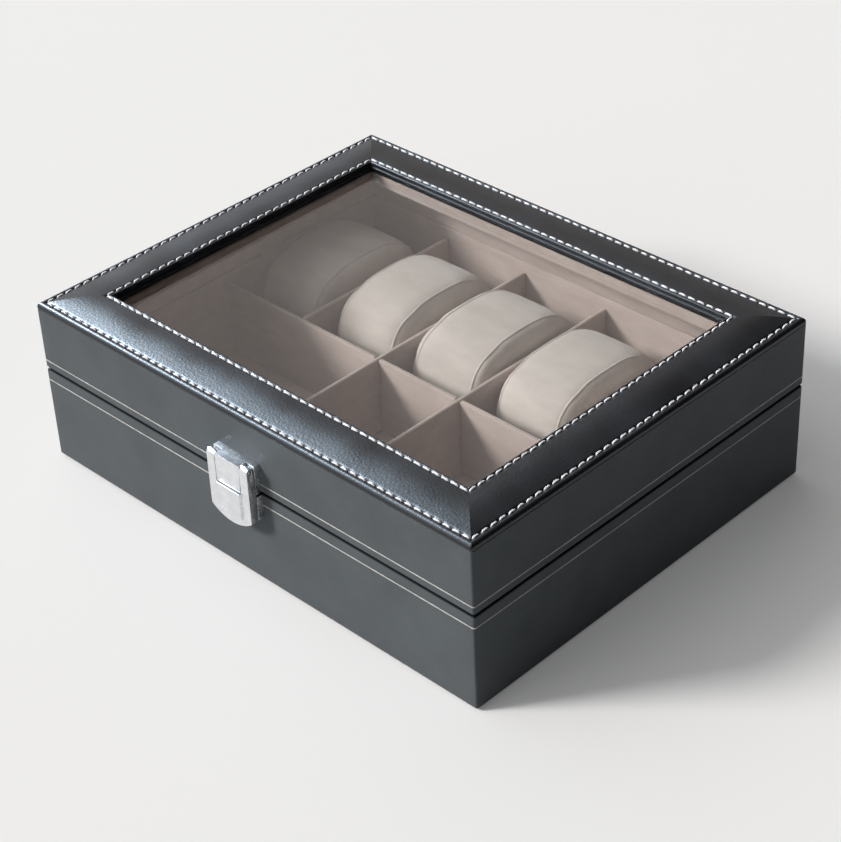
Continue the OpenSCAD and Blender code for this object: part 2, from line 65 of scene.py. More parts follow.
RAIL_W = 24.2 * MM          # padded rails round the window
COVER_LOW_R = 0.45 * MM     # lower outer edge of the padded cover
COVER_EDGE_R = 1.9 * MM     # upper outer edge of the padded cover
COVER_EDGE_H = 2.5 * MM     # height of the outer edge
COVER_INNER_R = 0.9 * MM    # edge along the window
COVER_HOLLOW = 2 * LEATHER_T        # depth of the cover's underside below its top
CROWN_H = 2.4 * MM          # rise of the padding
CROWN_START = 2.4 * MM      # where the rise starts, from the outer edge
CROWN_RUN = 15.6 * MM       # distance over which it rises
CROWN_POWER = 1.1
EDGE_BEAD = (2.1 * MM, 0.75 * MM, 0.22 * MM)    # roll along the outer edge: inset, width, height
WINDOW_FOLD = (2.1 * MM, 0.7 * MM, 0.55 * MM)   # on the window's wall: height, half height, depth
WINDOW_FOOT = 0.4 * MM      # straight foot of the window's wall
FOAM_DROP = 1.5 * LEATHER_T         # foam below the cover's top
FOAM_MIN = 0.1 * MM         # least thickness of the foam
RIPPLE = 0.12 * MM          # uneven padding
RIPPLE_SIZE = 26 * MM

HOLE_DEPTH = 0.3 * MM       # stitch hole below its seam's groove
GROOVE_REACH = 3            # a seam's groove ends at this many widths
SEAM_GROOVE = {"groove_w": 0.7 * MM, "depth": 0.25 * MM}
SEAMS = (
    {"inset": 3.4 * MM, "pitch": 4.95 * MM, "fill": 0.78, **SEAM_GROOVE},
    {"inset": RAIL_W - 2.1 * MM, "pitch": 4.9 * MM, "fill": 0.86, **SEAM_GROOVE},
)
STITCH_W = 1.05 * MM
STITCH_H = 0.8 * MM
STITCH_LIFT = 0.42          # middle of a stitch above the leather, in stitch heights
STITCH_DIVE = 0.75          # its ends below its middle, in stitch heights
STITCH_TIP = 0.04           # thinnest section, as a share of the middle's area
STITCH_LOBES = 0.10         # depth of the two plies
STITCH_TWIST = 2.2          # turn of the plies over half a stitch, in radians
STITCH_DRIFT = 0.07 * MM    # uneven sewing: sideways, in length and in direction
STITCH_LENGTHS = (0.96, 1.04)
STITCH_LEAN = 0.04
STITCH_RINGS = 9
STITCH_SIDES = 10

ARC_STEPS = 6               # steps round an upright corner
UNDER_STEPS = 12            # steps across a rail's underside
WALL_STEP = 4 * MM          # along a plain wall
COVER_STEP = 0.62 * MM      # along the stitched cover
SEAM_RING = 0.24 * MM       # between the cover's rings beside a seam
PLAIN_RING = 0.8 * MM       # between its other rings
SEAM_REACH = 1.6 * MM       # distance that counts as beside a seam

WELD = 0.002 * MM           # points closer than this are one
FLAT_ANGLE = math.radians(0.5)      # faces closer to flat than this are joined
SHARP_ANGLE = math.radians(35)      # edges sharper than this are rounded
BOARD_R = 0.6 * MM          # rounded edges of the lining boards
DIVIDER_R = 0.9 * MM        # and of the dividers and the floor pad
STRIP_R = 1.0 * MM          # and of the strips that hold the glass
FELT_R = 0.3 * MM
GLASS_R = 0.2 * MM
SCREW_R = 0.12 * MM
RECESS = (1.3, 0.7 * MM, 0.28)      # in a screw: length in radii, twice its depth, width in radii

PILLOWS = range(1, 6)
CROSS_DIVIDERS = range(1, 5)
VOXEL = 4 * MM              # of the pillows' remesh
ROUNDING = (0.6, 12)        # smoothing that rounds a pillow's ends: factor, steps
PRESSURE = 4.0              # of the cloth simulation, with its frames and quality
SIM_FRAMES = 20
SIM_QUALITY = 6
MOVE_CAP = 6 * MM           # most that the simulation moves a point
PILLOW_CLEAR = 0.2 * MM     # left inside the CAD form
PILLOW_FOAM = 0.86          # foam inside a pillow, as a share of the CAD core
PILLOW_FOAM_R = 2.5 * MM
PIPING_R = 0.7 * MM
PIPING_SINK = 0.35          # share of its radius that the piping lies in the velvet
PIPING_SET = 5.5 * MM       # piping from the end of a pillow
PIPING_STEPS = 72
PIPING_SIDES = 8

scene = bpy.context.scene
wrap_low, wrap_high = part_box("base_wrap")
lid_low, lid_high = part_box("lid_wrap")
cover_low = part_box("lid_cover")[0]
SEAM_Z = (wrap_high.z + lid_low.z) / 2
HALF_W, HALF_D = wrap_high.x, wrap_high.y
BASE_WALL = HALF_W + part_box("base_lining_left")[0].x
LID_WALL = HALF_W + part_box("lid_lining_left")[0].x
COVER_EDGE_Z = cover_low.z + COVER_EDGE_H


# ---- Materials ----

def add_node(tree, kind, values=None, **settings):
    """A shader node; a value that is a socket is linked, any other is set."""
    made = tree.nodes.new(kind)
    for key, value in settings.items():
        setattr(made, key, value)
    for key, value in (values or {}).items():
        if isinstance(value, bpy.types.NodeSocket):
            tree.links.new(value, made.inputs[key])
        else:
            made.inputs[key].default_value = value
    return made


def new_material(name, **values):
    """A Principled material with the given constant inputs; underscores stand for spaces."""
    material = bpy.data.materials.new(name)
    material.use_nodes = True
    tree = material.node_tree
    shader = tree.nodes["Principled BSDF"]
    for key, value in values.items():
        shader.inputs[key.replace("_", " ")].default_value = value
    return material, tree, shader


def feed(shader, name, socket):
    """Links a socket to an input of the shader."""
    shader.id_data.links.new(socket, shader.inputs[name])


def millimetres(tree, stretch=(1, 1, 1)):
    """Object coordinates in millimetres, divided by stretch."""
    place = add_node(tree, "ShaderNodeTexCoord").outputs["Object"]
    scale = [1 / (MM * s) for s in stretch]
    return add_node(tree, "ShaderNodeMapping", {"Vector": place, "Scale": scale}).outputs[0]


def noise_value(tree, vector, size, detail=3.0, roughness=0.5):
    """Noise from 0 to 1 whose patches are about size millimetres across."""
    values = {"Vector": vector, "Scale": 1 / size, "Detail": detail, "Roughness": roughness}
    return add_node(tree, "ShaderNodeTexNoise", values).outputs[0]


def cells(tree, vector, size, feature="F1"):
    """Distance in cells of about size millimetres."""
    values = {"Vector": vector, "Scale": 1 / size}
    return add_node(tree, "ShaderNodeTexVoronoi", values, feature=feature).outputs["Distance"]


def spread(tree, value, low, high, start=0.0, end=1.0):
    """Maps start..end of a value to low..high."""
    values = {"Value": value, "From Min": start, "From Max": end, "To Min": low, "To Max": high}
    return add_node(tree, "ShaderNodeMapRange", values).outputs[0]


def mix_colours(tree, factor, first, second):
    made = add_node(tree, "ShaderNodeMix", {"Factor": factor}, data_type="RGBA")
    for key, value in (("A", first), ("B", second)):
        socket = [s for s in made.inputs if s.name == key and s.type == "RGBA"][0]
        if isinstance(value, bpy.types.NodeSocket):
            tree.links.new(value, socket)
        else:
            socket.default_value = (*value, 1)
    return [s for s in made.outputs if s.type == "RGBA"][0]


def two_tone(tree, tone, span, dark, light):
    """A colour that goes from dark to light where tone runs over span."""
    return mix_colours(tree, spread(tree, tone, 0, 1, *span), dark, light)


def calculate(tree, operation, *values):
    inputs = dict(enumerate(values))
    return add_node(tree, "ShaderNodeMath", inputs, operation=operation).outputs[0]


def add_values(tree, first, second, share=1.0):
    """first + share * second"""
    return calculate(tree, "MULTIPLY_ADD", second, share, first)


def set_bump(tree, shader, height, depth, strength=1.0):
    """Bump whose height of 1 is depth metres."""
    values = {"Height": height, "Distance": depth, "Strength": strength}
    feed(shader, "Normal", add_node(tree, "ShaderNodeBump", values).outputs[0])


def paint_seam_shade(tree, place, colour):
    """Painted shade: the leather darkens towards the seam on the rims that meet there, where the gap
    lies in shade.
    """
    height = add_node(tree, "ShaderNodeSeparateXYZ", {"Vector": place}).outputs["Z"]
    off = calculate(tree, "ABSOLUTE", calculate(tree, "SUBTRACT", height, SEAM_Z / MM))
    full, none = SEAM_SHADE_SPAN
    return two_tone(tree, off, (full / MM, none / MM), (0.008, 0.009, 0.011), colour)


def leather_material(name, dark, light, rough, ior, grain, with_seam_shade=False):
    """Artificial leather: pebbled grain of the given depth, an uneven sheen and, where asked,
    painted shade on the rims by the seam.
    """
    material, tree, shader = new_material(name, IOR=ior, Specular_Tint=(0.93, 0.97, 1.0, 1))
    place = millimetres(tree)
    patches = noise_value(tree, place, 22, 2.0)
    fine = noise_value(tree, place, 0.9, 4.0, 0.6)
    pebbles = cells(tree, place, 1.0, "SMOOTH_F1")
    colour = two_tone(tree, add_values(tree, patches, fine, 0.6), (0.5, 1.1), dark, light)
    # painted shade on the rims by the seam, for the leather that asks for it
    feed(shader, "Base Color", paint_seam_shade(tree, place, colour) if with_seam_shade else colour)
    gloss = add_values(tree, patches, fine, 0.5)
    feed(shader, "Roughness", spread(tree, gloss, rough - 0.05, rough + 0.07, 0.5, 1.0))
    set_bump(tree, shader, add_values(tree, pebbles, fine, 0.7), grain)
    return material


def velvet_material(name, dark, light, sheen):
    """Short pile: brushed patches, a soft sheen and a fine fuzzy surface."""
    values = {"Roughness": 0.95, "Sheen_Weight": sheen, "Sheen_Roughness": 0.45}
    material, tree, shader = new_material(name, Specular_IOR_Level=0.12, **values)
    place = millimetres(tree)
    brushed = noise_value(tree, millimetres(tree, (3.0, 1.6, 1.0)), 7, 3.0, 0.6)
    pile = noise_value(tree, place, 0.28, 4.0, 0.7)
    speckle = noise_value(tree, place, 1.4, 4.0, 0.7)
    tone = add_values(tree, add_values(tree, brushed, pile, 0.35), speckle, 0.4)
    feed(shader, "Base Color", two_tone(tree, tone, (0.6, 1.15), dark, light))
    set_bump(tree, shader, add_values(tree, pile, speckle, 0.8), 0.12 * MM, 0.7)
    return material


def metal_material(name, colour, rough, grain, grain_depth):
    """Plated metal: polishing lines, faint smears and small scratches."""
    material, tree, shader = new_material(name, Metallic=1.0)
    lines = noise_value(tree, millimetres(tree, grain), 0.12, 3.0)
    smears = noise_value(tree, millimetres(tree), 5, 3.0)
    dull = [0.88 * c for c in colour]
    feed(shader, "Base Color", two_tone(tree, smears, (0.35, 0.7), dull, colour))
    gloss = add_values(tree, smears, lines, 0.5)
    feed(shader, "Roughness", spread(tree, gloss, rough * 0.75, rough * 1.35, 0.5, 1.0))
    set_bump(tree, shader, lines, grain_depth, 0.6)
    return material


def fibre_material():
    """Raw fibreboard: short fibres in several browns."""
    material, tree, shader = new_material("fibreboard", Roughness=0.85)
    fibres = noise_value(tree, millimetres(tree, (3.0, 1.0, 0.6)), 0.9, 6.0, 0.75)
    flecks = cells(tree, millimetres(tree), 1.6)
    tone = add_values(tree, fibres, flecks, 0.35)
    colour = two_tone(tree, tone, (0.4, 0.95), (0.26, 0.165, 0.09), (0.50, 0.36, 0.22))
    feed(shader, "Base Color", colour)
    set_bump(tree, shader, tone, 0.15 * MM)
    return material


def felt_material():
    """Black felt: matted fibres with a little lint."""
    values = {"Roughness": 1.0, "Sheen_Weight": 0.3, "Sheen_Roughness": 0.6}
    material, tree, shader = new_material("felt", **values)
    mat = noise_value(tree, millimetres(tree), 0.5, 6.0, 0.8)
    lint = cells(tree, millimetres(tree, (2.5, 1.0, 1.0)), 2.2)
    tone = add_values(tree, mat, lint, 0.3)
    colour = two_tone(tree, tone, (0.35, 0.9), (0.012, 0.012, 0.014), (0.05, 0.05, 0.055))
    feed(shader, "Base Color", colour)
    set_bump(tree, shader, mat, 0.3 * MM)
    return material


def foam_material():
    """Open-cell foam: small round pores in cream."""
    material, tree, shader = new_material("foam", Roughness=0.95)
    pores = cells(tree, millimetres(tree), 0.8)
    aged = noise_value(tree, millimetres(tree), 12)
    tone = add_values(tree, pores, aged, 0.5)
    colour = two_tone(tree, tone, (0.2, 0.9), (0.52, 0.47, 0.36), (0.80, 0.77, 0.67))
    feed(shader, "Base Color", colour)
    set_bump(tree, shader, pores, 0.3 * MM)
    return material


def thread_material():
    """White twisted thread, a little soiled."""
    values = {"Roughness": 0.62, "Sheen_Weight": 0.3, "Sheen_Roughness": 0.4}
    material, tree, shader = new_material("thread", **values)
    plies = noise_value(tree, millimetres(tree), 0.25, 3.0, 0.6)
    soiled = noise_value(tree, millimetres(tree), 9, 2.0)
    tone = add_values(tree, plies, soiled, 0.8)
    colour = two_tone(tree, tone, (0.6, 1.15), (0.66, 0.66, 0.70), (0.90, 0.90, 0.92))
    feed(shader, "Base Color", colour)
    set_bump(tree, shader, plies, 0.08 * MM)
    return material


def stripe_material():
    """Pale printed pinstripe, a little rubbed."""
    material, tree, shader = new_material("pale_stripe", Roughness=0.42)
    rubbed = noise_value(tree, millimetres(tree), 2.6, 5.0, 0.7)
    colour = two_tone(tree, rubbed, (0.35, 0.65), (0.35, 0.345, 0.315), (0.54, 0.53, 0.50))
    feed(shader, "Base Color", colour)
    set_bump(tree, shader, rubbed, 0.03 * MM)
    return material


def glass_material():
    """Clear pane that lets light from the lamps and from the inside pass straight through."""
    material, tree, shader = new_material("glass", Transmission_Weight=1.0, IOR=1.5)
    smears = noise_value(tree, millimetres(tree), 40, 4.0, 0.6)
    feed(shader, "Roughness", spread(tree, smears, 0.0, 0.03, 0.45, 0.8))
    tint = two_tone(tree, smears, (0.0, 1.0), (0.965, 0.975, 0.97), (0.98, 0.985, 0.983))
    feed(shader, "Base Color", tint)
    clear = add_node(tree, "ShaderNodeBsdfTransparent", {"Color": (0.94, 0.95, 0.945, 1)})
    path = add_node(tree, "ShaderNodeLightPath").outputs
    straight = calculate(tree, "MAXIMUM", path["Is Shadow Ray"], path["Is Diffuse Ray"])
    shaders = {0: straight, 1: shader.outputs[0], 2: clear.outputs[0]}
    mixed = add_node(tree, "ShaderNodeMixShader", shaders)
    feed(tree.nodes["Material Output"], "Surface", mixed.outputs[0])
    return material


# The walls carry painted shade on their rims by the seam.
WALL_LEATHER = leather_material("wall_leather", (0.072, 0.081, 0.087), (0.093, 0.104, 0.112),
                                rough=0.36, ior=1.17, grain=0.03 * MM, with_seam_shade=True)
COVER_LEATHER = leather_material("cover_leather", (0.006, 0.006, 0.007), (0.012, 0.012, 0.014),
                                 rough=0.36, ior=1.46, grain=0.045 * MM)
LINING_VELVET = velvet_material("lining_velvet", (0.425, 0.342, 0.310), (0.55, 0.460, 0.425), 0.35)
PILLOW_VELVET = velvet_material("pillow_velvet", (0.515, 0.460, 0.424), (0.640, 0.578, 0.540), 0.3)
CHROME = metal_material("chrome", (0.87, 0.88, 0.90), 0.24, (1.0, 1.0, 12.0), 0.004 * MM)
STEEL = metal_material("plated_steel", (0.60, 0.61, 0.62), 0.30, (14.0, 1.0, 1.0), 0.012 * MM)
FIBREBOARD = fibre_material()
FELT = felt_material()
FOAM = foam_material()
THREAD = thread_material()
STRIPE = stripe_material()
GLASS = glass_material()


# ---- Making pieces ----

def add_piece(name, mesh, body, material, slot, *nodes):
    """Links a piece with its material and lets it ride on a body in the place of CAD nodes."""
    mesh.name = name
    piece = bpy.data.objects.new(name, mesh)
    scene.collection.objects.link(piece)
    mesh.materials.clear()
    mesh.materials.append(material)
    mesh.polygons.foreach_set("use_smooth", [True] * len(mesh.polygons))
    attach(piece, body)
    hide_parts(*nodes)
    return piece


def tidy_mesh(mesh):
    """Joins loose faces and turns them all outwards."""
    work = bmesh.new()
    work.from_mesh(mesh)
    bmesh.ops.remove_doubles(work, verts=work.verts, dist=WELD)
    bmesh.ops.recalc_face_normals(work, faces=work.faces)
    work.to_mesh(mesh)
    work.free()
    return mesh


def final_mesh(piece):
    """A new mesh of an object as its modifiers leave it."""
    graph = bpy.context.evaluated_depsgraph_get()
    return bpy.data.meshes.new_from_object(piece.evaluated_get(graph))


def side_frames():
    """The sides anticlockwise from the front: outward normal, tangent, distance, half length."""
    for nx, ny in ((0, -1), (1, 0), (0, 1), (-1, 0)):
        across, along = (HALF_W, HALF_D) if nx else (HALF_D, HALF_W)
        yield Vector((nx, ny)), Vector((-ny, nx)), across, along


def outline_points(inset, step):
    """A rounded rectangle inside the outline, as (point, place along its side, half length)."""
    fold = max(CORNER_R, inset + FOLD_MIN)
    for normal, tangent, across, along in side_frames():
        count = round(2 * along / step)
        for k in range(count):
            place = (along - fold) * (2 * k / count - 1)
            yield normal * (across - inset) + tangent * place, place, along
        centre = normal * (across - fold) + tangent * (along - fold)
        for k in range(ARC_STEPS):
            angle = math.pi / 2 * k / ARC_STEPS
            spoke = normal * math.cos(angle) + tangent * math.sin(angle)
            yield centre + spoke * (fold - inset), along - inset, along


def loft(rings):
    """A closed shell through rings with the same number of points."""
    count = len(rings[0])
    faces = []
    for r in range(len(rings)):
        a = r * count
        b = (r + 1) % len(rings) * count
        faces += [(a + k, a + (k + 1) % count, b + (k + 1) % count, b + k) for k in range(count)]
    mesh = bpy.data.meshes.new("loft")
    mesh.from_pydata([point for ring in rings for point in ring], [], faces)
    return tidy_mesh(mesh)


def ring_shell(profile):
    """A shell round the box whose section is a closed list of (inset, height)."""
    def ring(inset, z):
        return [(point.x, point.y, z) for point, _, _ in outline_points(inset, WALL_STEP)]

    return loft([ring(inset, z) for inset, z in profile])


def arc(inset, z, radius, start, end, steps):
    """Section points on an arc, with angles in degrees from the direction of growing inset."""
    angles = [math.radians(start + (end - start) * k / steps) for k in range(steps + 1)]
    return [(inset + radius * math.cos(a), z + radius * math.sin(a)) for a in angles]


def softened(name, node, body, material, slot, radius, segments=2):
    """A copy of a CAD node with its edges rounded, which stands for the node."""
    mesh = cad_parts[node].data.copy()
    work = bmesh.new()
    work.from_mesh(mesh)
    bmesh.ops.remove_doubles(work, verts=work.verts, dist=WELD)
    bmesh.ops.dissolve_limit(work, angle_limit=FLAT_ANGLE, verts=work.verts, edges=work.edges)
    work.to_mesh(mesh)
    work.free()
    piece = add_piece(name, mesh, body, material, slot, node)
    bevel = piece.modifiers.new("rounded edges", "BEVEL")
    bevel.width = radius
    bevel.segments = segments
    bevel.limit_method = "ANGLE"
    bevel.angle_limit = SHARP_ANGLE
    bevel.harden_normals = True
    return piece


# ---- Leather walls and pinstripes ----

def stripe_span(node):
    """Heights of a pinstripe's edges."""
    low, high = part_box(node)
    return low.z + STRIPE_TRIM, high.z - STRIPE_TRIM


def wall_shell(low, high, low_turn, high_turn, low_r, high_r, stripe):
    """Leather round the four walls, turned in at both rims, with a groove for the pinstripe."""
    stripe_low, stripe_high = stripe_span(stripe)
    profile = [(low_turn, low.z), (low_r + HOLD, low.z)]
    profile += arc(low_r, low.z + low_r, low_r, 270, 180, steps=4)
    profile += [(0, low.z + low_r + HOLD), (0, stripe_low - HOLD), (0, stripe_low - GROOVE)]
    profile += [(GROOVE, stripe_low), (GROOVE, stripe_high)]
    profile += [(0, stripe_high + GROOVE), (0, stripe_high + HOLD), (0, high.z - high_r - HOLD)]
    profile += arc(high_r, high.z - high_r, high_r, 180, 90, steps=5)
    profile += [(high_r + HOLD, high.z), (high_turn, high.z), (high_turn, high.z - LEATHER_T)]
    profile += [(LEATHER_T, high.z - LEATHER_T), (LEATHER_T, low.z + LEATHER_T)]
    profile += [(low_turn, low.z + LEATHER_T)]
    return ring_shell(profile)


def stripe_ring(node):
    """A slim bead let into the leather."""
    low, high = stripe_span(node)
    middle = (low + high) / 2
    half = (high - low) / 2
    section = [(2 * GROOVE, low), (0.3 * GROOVE, low), (-0.7 * STRIPE_PROUD, middle - 0.6 * half)]
    section += [(-STRIPE_PROUD, middle), (-0.7 * STRIPE_PROUD, middle + 0.6 * half)]
    section += [(0.3 * GROOVE, high), (2 * GROOVE, high)]
    return ring_shell(section)


def make_walls():
    base = wall_shell(wrap_low, wrap_high, TURN_IN, BASE_WALL, FOOT_R, BASE_RIM_R, "base_stripe")
    add_piece("base_leather", base, "base", WALL_LEATHER, "black_leather", "base_wrap")
    lid = wall_shell(lid_low, lid_high, LID_WALL, LID_WALL, LID_LOW_R, LID_TOP_R, "lid_stripe")
    add_piece("lid_leather", lid, "lid", WALL_LEATHER, "black_leather", "lid_wrap")
    for body in ("base", "lid"):
        node = body + "_stripe"
        add_piece(body + "_pinstripe", stripe_ring(node), body, STRIPE, "pale_stripe", node)


# ---- Padded cover and its stitching ----

def crown_height(inset):
    """Height of the padded cover over the walls at a distance from its outer edge."""
    rise = min(1.0, max(0.0, (inset - CROWN_START) / CROWN_RUN))
    middle, width, height = EDGE_BEAD
    bead = height * math.exp(-((inset - middle) / width) ** 2)
    return COVER_EDGE_Z + bead + CROWN_H * math.sin(math.pi / 2 * rise) ** CROWN_POWER


def stitch_count(seam, along):
    return round(2 * (along - seam["inset"]) / seam["pitch"])


def cover_height(inset, point, place, along):
    """Height of the cover where the stitches pull it in and the padding is a little uneven."""
    z = crown_height(inset)
    for seam in SEAMS:
        off = (inset - seam["inset"]) / seam["groove_w"]
        if abs(off) < GROOVE_REACH:
            turns = (place / (2 * (along - seam["inset"])) + 0.5) * stitch_count(seam, along)
            pull = (0.5 + 0.5 * math.cos(2 * math.pi * turns)) ** 2
            z -= math.exp(-off * off) * (seam["depth"] + HOLE_DEPTH * pull)
    free = math.sin(math.pi * min(1.0, inset / RAIL_W))
    return z + RIPPLE * free * noise.noise(Vector((point.x, point.y, 0)) / RIPPLE_SIZE)


def cover_insets():
    """Distances from the outer edge for the top's rings, close together at the stitching."""
    inset = COVER_EDGE_R
    while inset < RAIL_W - COVER_INNER_R:
        yield inset
        near = min(abs(inset - seam["inset"]) for seam in SEAMS)
        inset += SEAM_RING if near < SEAM_REACH else PLAIN_RING


def cover_section():
    """The closed section: (inset, height, inset whose height on the top is added, or None)."""
    low = cover_low.z
    turn = RAIL_W - COVER_INNER_R
    foot = arc(COVER_LOW_R, low + COVER_LOW_R, COVER_LOW_R, 270, 180, steps=3)
    shoulder = arc(COVER_EDGE_R, -COVER_EDGE_R, COVER_EDGE_R, 180, 100, steps=5)
    brink = arc(turn, -COVER_INNER_R, COVER_INNER_R, 90, 0, steps=6)
    section = [(inset, z, None) for inset, z in foot]
    section += [(inset, z, COVER_EDGE_R) for inset, z in shoulder]
    section += [(inset, 0, inset) for inset in cover_insets()]
    section += [(inset, z, turn) for inset, z in brink]
    height, half, depth = WINDOW_FOLD
    for degrees in range(0, 181, 30):
        angle = math.radians(degrees)
        z = low + height + half * math.cos(angle)
        section.append((RAIL_W + depth * math.sin(angle), z, None))
    inside = RAIL_W - LEATHER_T
    section += [(RAIL_W, low + WINDOW_FOOT, None), (RAIL_W, low, None), (inside, low, None)]
    for k in range(UNDER_STEPS + 1):
        inset = inside + (LEATHER_T - inside) * k / UNDER_STEPS
        section.append((inset, crown_height(inset) - COVER_HOLLOW, None))
    section.append((LEATHER_T, low, None))
    return section


def make_cover():
    """The padded cover as one closed shell of leather."""
    rings = []
    for inset, z, source in cover_section():
        ring = []
        for point, place, along in outline_points(inset, COVER_STEP):
            level = 0 if source is None else cover_height(source, point, place, along)
            ring.append((point.x, point.y, z + level))
        rings.append(ring)
    mesh = loft(rings)
    cover = add_piece("lid_padded_cover", mesh, "lid", COVER_LEATHER, "black_leather", "lid_cover")


def stitch_vertices(centre, tangent, normal, length, turn):
    """One plump stitch of twisted thread that dives into the leather at both ends."""
    points = []
    for i in range(STITCH_RINGS):
        v = 2 * i / (STITCH_RINGS - 1) - 1
        slim = math.sqrt(max(STITCH_TIP, 1 - abs(v) ** 5))
        rise = STITCH_H * (STITCH_LIFT - STITCH_DIVE * abs(v) ** 4)
        for k in range(STITCH_SIDES):
            angle = 2 * math.pi * k / STITCH_SIDES
            lobes = 1 + STITCH_LOBES * math.cos(2 * (angle - STITCH_TWIST * v - turn))
            side = 0.5 * STITCH_W * slim * lobes * math.cos(angle)
            up = 0.5 * STITCH_H * slim * lobes * math.sin(angle)
            place = centre.xy + tangent * (v * length / 2) + normal * side
            points.append((place.x, place.y, centre.z + rise + up))
    return points


def stitch_faces(start):
    faces = []
    for i in range(STITCH_RINGS - 1):
        a = start + i * STITCH_SIDES
        b = a + STITCH_SIDES
        for k in range(STITCH_SIDES):
            n = (k + 1) % STITCH_SIDES
            faces.append((a + k, a + n, b + n, b + k))
    last = start + (STITCH_RINGS - 1) * STITCH_SIDES
    faces.append(tuple(range(start, start + STITCH_SIDES)))
    faces.append(tuple(range(last, last + STITCH_SIDES)))
    return faces


def make_seam(name, seam, node):
    """A row of stitches along all four sides, which meet at the corners."""
    rng = random.Random(name)
    vertices = []
    faces = []
    for normal, tangent, across, along in side_frames():
        count = stitch_count(seam, along)
        pitch = 2 * (along - seam["inset"]) / count
        for k in range(count):
            place = pitch * (k + 0.5 - count / 2)
            out = across - seam["inset"] + rng.uniform(-STITCH_DRIFT, STITCH_DRIFT)
            spot = normal * out + tangent * place
            centre = Vector((spot.x, spot.y, cover_height(seam["inset"], spot, place, along)))
            length = pitch * seam["fill"] * rng.uniform(*STITCH_LENGTHS)
            lean = tangent + normal * rng.uniform(-STITCH_LEAN, STITCH_LEAN)
            faces += stitch_faces(len(vertices))
            vertices += stitch_vertices(centre, lean, normal, length, rng.uniform(0, math.pi))
    mesh = bpy.data.meshes.new(name)
    mesh.from_pydata(vertices, [], faces)
    add_piece(name, tidy_mesh(mesh), "lid", THREAD, "thread", node)


# ---- Boards, linings and glass ----

def make_padding():
    """Foam under the padded cover, low enough to clear the pulled-in stitches."""
    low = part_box("lid_padding")[0]
    outer = HALF_W + low.x
    inner = HALF_W - min(abs(v.co.x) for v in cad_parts["lid_padding"].data.vertices)
    profile = [(outer, low.z)]
    for k in range(UNDER_STEPS + 1):
        inset = outer + (inner - outer) * k / UNDER_STEPS
        profile.append((inset, max(low.z + FOAM_MIN, crown_height(inset) - FOAM_DROP)))
    profile.append((inner, low.z))
    foam = add_piece("lid_foam", ring_shell(profile), "lid", FOAM, "foam", "lid_padding")


def make_insides():
    """Velvet, felt, foam and glass with softened edges; fibreboards keep their CAD shape."""
    for side in ("front", "back", "left", "right"):
        for body in ("base", "lid"):
            node = f"{body}_lining_{side}"
            softened(f"{body}_velvet_{side}", node, body, LINING_VELVET, "velvet", BOARD_R, 3)
    velvet = (LINING_VELVET, "velvet", DIVIDER_R, 3)
    softened("long_velvet_divider", "long_divider", "base", *velvet)
    for i in CROSS_DIVIDERS:
        softened(f"cross_velvet_divider_{i}", f"cross_divider_{i}", "base", *velvet)
    floor = softened("velvet_floor", "base_floor_pad", "base", *velvet)
    softened("velvet_glass_strips", "lid_glass_strips", "lid", LINING_VELVET, "velvet", STRIP_R, 3)
    softened("bottom_felt", "base_felt", "base", FELT, "felt", FELT_R)
    make_padding()
    pane = softened("window_glass", "lid_glass", "lid", GLASS, "glass", GLASS_R)
    pane.modifiers[0].harden_normals = False
    pane.data.polygons.foreach_set("use_smooth", [False] * len(pane.data.polygons))
    for node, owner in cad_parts.items():
        if node.endswith("_board") or node == "lid_top_rails":
            owner.data.materials.clear()
            owner.data.materials.append(FIBREBOARD)


# ---- Clasp and hinges ----

# Metal pieces with rounded edges: piece, CAD node, body, material, slot, radius, segments
METAL_PIECES = [
    ("clasp_hinge_block", "clasp_block", "lid", CHROME, "chrome", 0.16 * MM, 3),
    ("clasp_catch_plate", "catch_plate", "base", CHROME, "chrome", 0.22 * MM, 3),
    ("clasp_front_flap", "clasp_flap", "clasp", CHROME, "chrome", 0.1 * MM, 3),
    ("clasp_spring_tongue", "clasp_tongue", "clasp", STEEL, "steel", 0.1 * MM, 2),
    ("clasp_hinge_pin", "clasp_pin", "lid", STEEL, "steel", 0.15 * MM, 2),
    ("clasp_block_fixings", "clasp_block_rivets", "lid", STEEL, "steel", 0.2 * MM, 2),
    ("catch_fixings", "catch_rivets", "base", STEEL, "steel", 0.2 * MM, 2),
    ("hinge_base_plate_left", "hinge_base_leaf_left", "base", STEEL, "steel", 0.15 * MM, 2),
    ("hinge_lid_plate_left", "hinge_lid_leaf_left", "lid", STEEL, "steel", 0.15 * MM, 2),
    ("hinge_base_plate_right", "hinge_base_leaf_right", "base", STEEL, "steel", 0.15 * MM, 2),
    ("hinge_lid_plate_right", "hinge_lid_leaf_right", "lid", STEEL, "steel", 0.15 * MM, 2),
    ("hinge_axles", "hinge_pins", "base", STEEL, "steel", 0.15 * MM, 2),
]


def islands(mesh):
    """The lowest and highest corner of each separate part of a mesh, from left to right."""
    work = bmesh.new()
    work.from_mesh(mesh)
    bmesh.ops.remove_doubles(work, verts=work.verts, dist=WELD)
    left = set(work.verts)
    found = []
    while left:
        group = [left.pop()]
        for vertex in group:
            for edge in vertex.link_edges:
                other = edge.other_vert(vertex)
                if other in left:
                    left.remove(other)
                    group.append(other)
        low = Vector([min(v.co[a] for v in group) for a in range(3)])
        high = Vector([max(v.co[a] for v in group) for a in range(3)])
        found.append((low, high))
    work.free()
    return sorted(found, key=lambda pair: (pair[0].x, pair[0].z))


